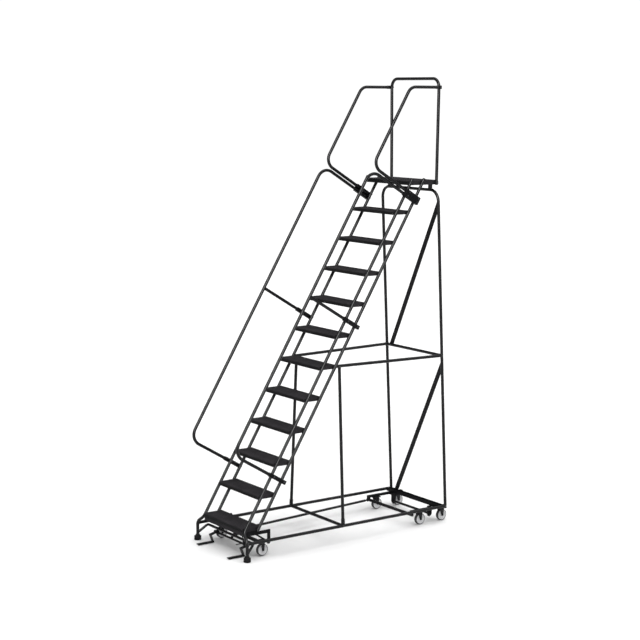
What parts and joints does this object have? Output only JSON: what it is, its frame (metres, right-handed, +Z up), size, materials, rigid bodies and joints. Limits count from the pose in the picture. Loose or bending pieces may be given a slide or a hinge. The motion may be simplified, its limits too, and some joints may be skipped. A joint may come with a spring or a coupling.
{
  "type": "rolling library ladder",
  "caption": "Tall rolling ladder with sloped tubular stringers, flat treads, handrails, a railed top platform and a caster lift worked by a foot lever.",
  "frame": {"origin": "centre of the bounding box at floor level", "axes": "+X to the climber's right, +Y from the foot of the steps to the rear, +Z up"},
  "size_m": [0.8394, 2.2608, 3.929],
  "materials": {
    "black_tube": "glossy powder coat",
    "tread_finish": "satin grip coat",
    "black_plate": "satin powder coat",
    "foot_rubber": "matte",
    "fastener": "black oxide",
    "lever_paint": "gloss",
    "fork_finish": "dark plated",
    "wheel": "pale moulded wheel"
  },
  "bodies": {
    "root": {"front_stringer_left": "black_tube", "front_stringer_right": "black_tube", "rear_stringer_left": "black_tube", "rear_stringer_right": "black_tube", "tread_01": "tread_finish", "tread_02": "tread_finish", "tread_03": "tread_finish", "tread_04": "tread_finish", "tread_05": "tread_finish", "tread_06": "tread_finish", "tread_07": "tread_finish", "tread_08": "tread_finish", "tread_09": "tread_finish", "tread_10": "tread_finish", "tread_11": "tread_finish", "platform": "tread_finish", "handrail_left": "black_tube", "handrail_right": "black_tube", "handrail_struts": "black_tube", "side_rail_left": "black_tube", "side_rail_right": "black_tube", "guard_rail": "black_tube", "top_bracket_left": "black_plate", "top_bracket_right": "black_plate", "lower_brackets": "black_plate", "rail_bolts": "fastener", "rear_frame": "black_tube", "mid_side_bar_left": "black_tube", "mid_side_bar_right": "black_tube", "mid_rear_bar": "black_tube", "post_left": "black_tube", "post_right": "black_tube", "base_tube_left": "black_tube", "base_tube_right": "black_tube", "base_cross_bar": "black_tube", "rear_channel": "black_plate", "upper_brace": "black_plate", "lower_brace": "black_plate", "front_cross_tube": "black_tube", "side_plate_left": "black_plate", "side_plate_right": "black_plate", "rubber_feet": "foot_rubber", "truck_lugs": "black_plate", "truck_shaft": "black_tube"},
    "release_lever": {"lever_shaft": "lever_paint", "lever_arms": "lever_paint"},
    "front_caster_frame": {"caster_frame": "black_plate", "front_caster_forks": "fork_finish"},
    "link_rod": {"link_rod": "black_tube"},
    "rear_truck": {"rear_truck": "black_plate"},
    "front_wheel_left": {"front_wheel_left": "wheel"},
    "front_wheel_right": {"front_wheel_right": "wheel"},
    "swivel_fork_front_left": {"swivel_fork_front_left": "fork_finish"},
    "rear_wheel_front_left": {"rear_wheel_front_left": "wheel"},
    "swivel_fork_front_right": {"swivel_fork_front_right": "fork_finish"},
    "rear_wheel_front_right": {"rear_wheel_front_right": "wheel"},
    "swivel_fork_rear_left": {"swivel_fork_rear_left": "fork_finish"},
    "rear_wheel_rear_left": {"rear_wheel_rear_left": "wheel"},
    "swivel_fork_rear_right": {"swivel_fork_rear_right": "fork_finish"},
    "rear_wheel_rear_right": {"rear_wheel_rear_right": "wheel"}
  },
  "joints": [
    {"name": "release_lever_turn", "type": "hinge", "parent": "root", "child": "release_lever", "pos_m": [0, -0.9474, 0.088], "axis": [-1, 0, 0], "range_deg": [0, 30]},
    {"name": "caster_frame_tip", "type": "hinge", "parent": "root", "child": "front_caster_frame", "pos_m": [0, -0.7684, 0.1], "axis": [1, 0, 0], "range_deg": [0, 10]},
    {"name": "rod_front_pin", "type": "hinge", "parent": "front_caster_frame", "child": "link_rod", "pos_m": [-0.125, -0.7684, 0.111], "axis": [1, 0, 0], "range_deg": [-10.6, 0]},
    {"name": "rear_truck_rock", "type": "hinge", "parent": "root", "child": "rear_truck", "pos_m": [0, 0.9886, 0.061], "axis": [1, 0, 0], "range_deg": [0, 3.1]},
    {"name": "front_wheel_left_spin", "type": "hinge", "parent": "front_caster_frame", "child": "front_wheel_left", "pos_m": [-0.313, -0.8474, 0.055], "axis": [1, 0, 0], "continuous": true},
    {"name": "front_wheel_right_spin", "type": "hinge", "parent": "front_caster_frame", "child": "front_wheel_right", "pos_m": [0.313, -0.8474, 0.055], "axis": [1, 0, 0], "continuous": true},
    {"name": "swivel_fork_front_left_swivel", "type": "hinge", "parent": "rear_truck", "child": "swivel_fork_front_left", "pos_m": [-0.313, 0.8156, 0.11], "axis": [0, 0, 1], "continuous": true},
    {"name": "rear_wheel_front_left_spin", "type": "hinge", "parent": "swivel_fork_front_left", "child": "rear_wheel_front_left", "pos_m": [-0.313, 0.8306, 0.0508], "axis": [1, 0, 0], "continuous": true},
    {"name": "swivel_fork_front_right_swivel", "type": "hinge", "parent": "rear_truck", "child": "swivel_fork_front_right", "pos_m": [0.313, 0.8156, 0.11], "axis": [0, 0, 1], "continuous": true},
    {"name": "rear_wheel_front_right_spin", "type": "hinge", "parent": "swivel_fork_front_right", "child": "rear_wheel_front_right", "pos_m": [0.313, 0.8306, 0.0508], "axis": [1, 0, 0], "continuous": true},
    {"name": "swivel_fork_rear_left_swivel", "type": "hinge", "parent": "rear_truck", "child": "swivel_fork_rear_left", "pos_m": [-0.313, 1.0646, 0.11], "axis": [0, 0, 1], "continuous": true},
    {"name": "rear_wheel_rear_left_spin", "type": "hinge", "parent": "swivel_fork_rear_left", "child": "rear_wheel_rear_left", "pos_m": [-0.313, 1.0796, 0.0508], "axis": [1, 0, 0], "continuous": true},
    {"name": "swivel_fork_rear_right_swivel", "type": "hinge", "parent": "rear_truck", "child": "swivel_fork_rear_right", "pos_m": [0.313, 1.0646, 0.11], "axis": [0, 0, 1], "continuous": true},
    {"name": "rear_wheel_rear_right_spin", "type": "hinge", "parent": "swivel_fork_rear_right", "child": "rear_wheel_rear_right", "pos_m": [0.313, 1.0796, 0.0508], "axis": [1, 0, 0], "continuous": true}
  ],
  "couplings": [
    {"joint": "caster_frame_tip", "follows": "release_lever_turn", "ratio": 0.33333},
    {"joint": "rod_front_pin", "follows": "release_lever_turn", "ratio": -0.35273},
    {"joint": "rear_truck_rock", "follows": "release_lever_turn", "ratio": 0.10302}
  ]
}
